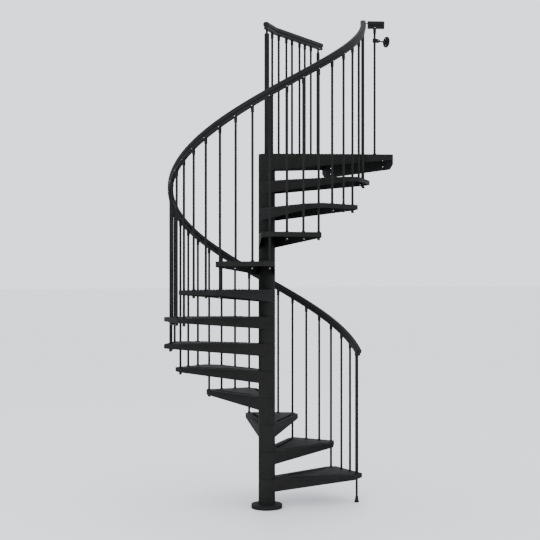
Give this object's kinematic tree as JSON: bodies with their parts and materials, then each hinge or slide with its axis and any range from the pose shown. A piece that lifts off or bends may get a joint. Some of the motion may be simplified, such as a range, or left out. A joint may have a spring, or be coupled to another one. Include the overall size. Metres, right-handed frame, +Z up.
{
  "type": "spiral staircase",
  "caption": "Black steel spiral stair: wedge treads on a column of stacked hubs, spiral balustrade with a moulded handrail, and a wall-fixed landing.",
  "frame": {"origin": "centre of the base plate's underside, on the column's axis", "axes": "+Z up the column; +X square to the wall that carries the landing, out of the stair; the stair climbs counter-clockwise seen from above"},
  "size_m": [1.6902, 1.6344, 3.9056],
  "materials": {
    "black_powder_coat": "satin fine-textured powder coat",
    "bracket_paint": "satin",
    "rail_plastic": "satin moulded plastic",
    "bright_steel": "zinc plated"
  },
  "bodies": {
    "root": {"base_plate": "black_powder_coat", "base_cover": "black_powder_coat", "centre_rod": "bright_steel", "tread_01": "black_powder_coat", "tread_02": "black_powder_coat", "tread_03": "black_powder_coat", "tread_04": "black_powder_coat", "tread_05": "black_powder_coat", "tread_06": "black_powder_coat", "tread_07": "black_powder_coat", "tread_08": "black_powder_coat", "tread_09": "black_powder_coat", "tread_10": "black_powder_coat", "tread_11": "black_powder_coat", "tread_12": "black_powder_coat", "landing": "black_powder_coat", "start_newel": "black_powder_coat", "newel_foot": "rail_plastic", "balusters_01": "black_powder_coat", "balusters_02": "black_powder_coat", "balusters_03": "black_powder_coat", "balusters_04": "black_powder_coat", "balusters_05": "black_powder_coat", "balusters_06": "black_powder_coat", "balusters_07": "black_powder_coat", "balusters_08": "black_powder_coat", "balusters_09": "black_powder_coat", "balusters_10": "black_powder_coat", "balusters_11": "black_powder_coat", "balusters_12": "black_powder_coat", "handrail": "rail_plastic", "handrail_top": "rail_plastic", "landing_newel": "black_powder_coat", "landing_balusters": "black_powder_coat", "landing_end_post": "black_powder_coat", "landing_rail_elbow": "rail_plastic", "landing_rail": "rail_plastic", "wall_baluster": "black_powder_coat", "wall_rail": "rail_plastic", "rail_pin": "black_powder_coat", "wall_bracket": "bracket_paint"}
  },
  "joints": []
}
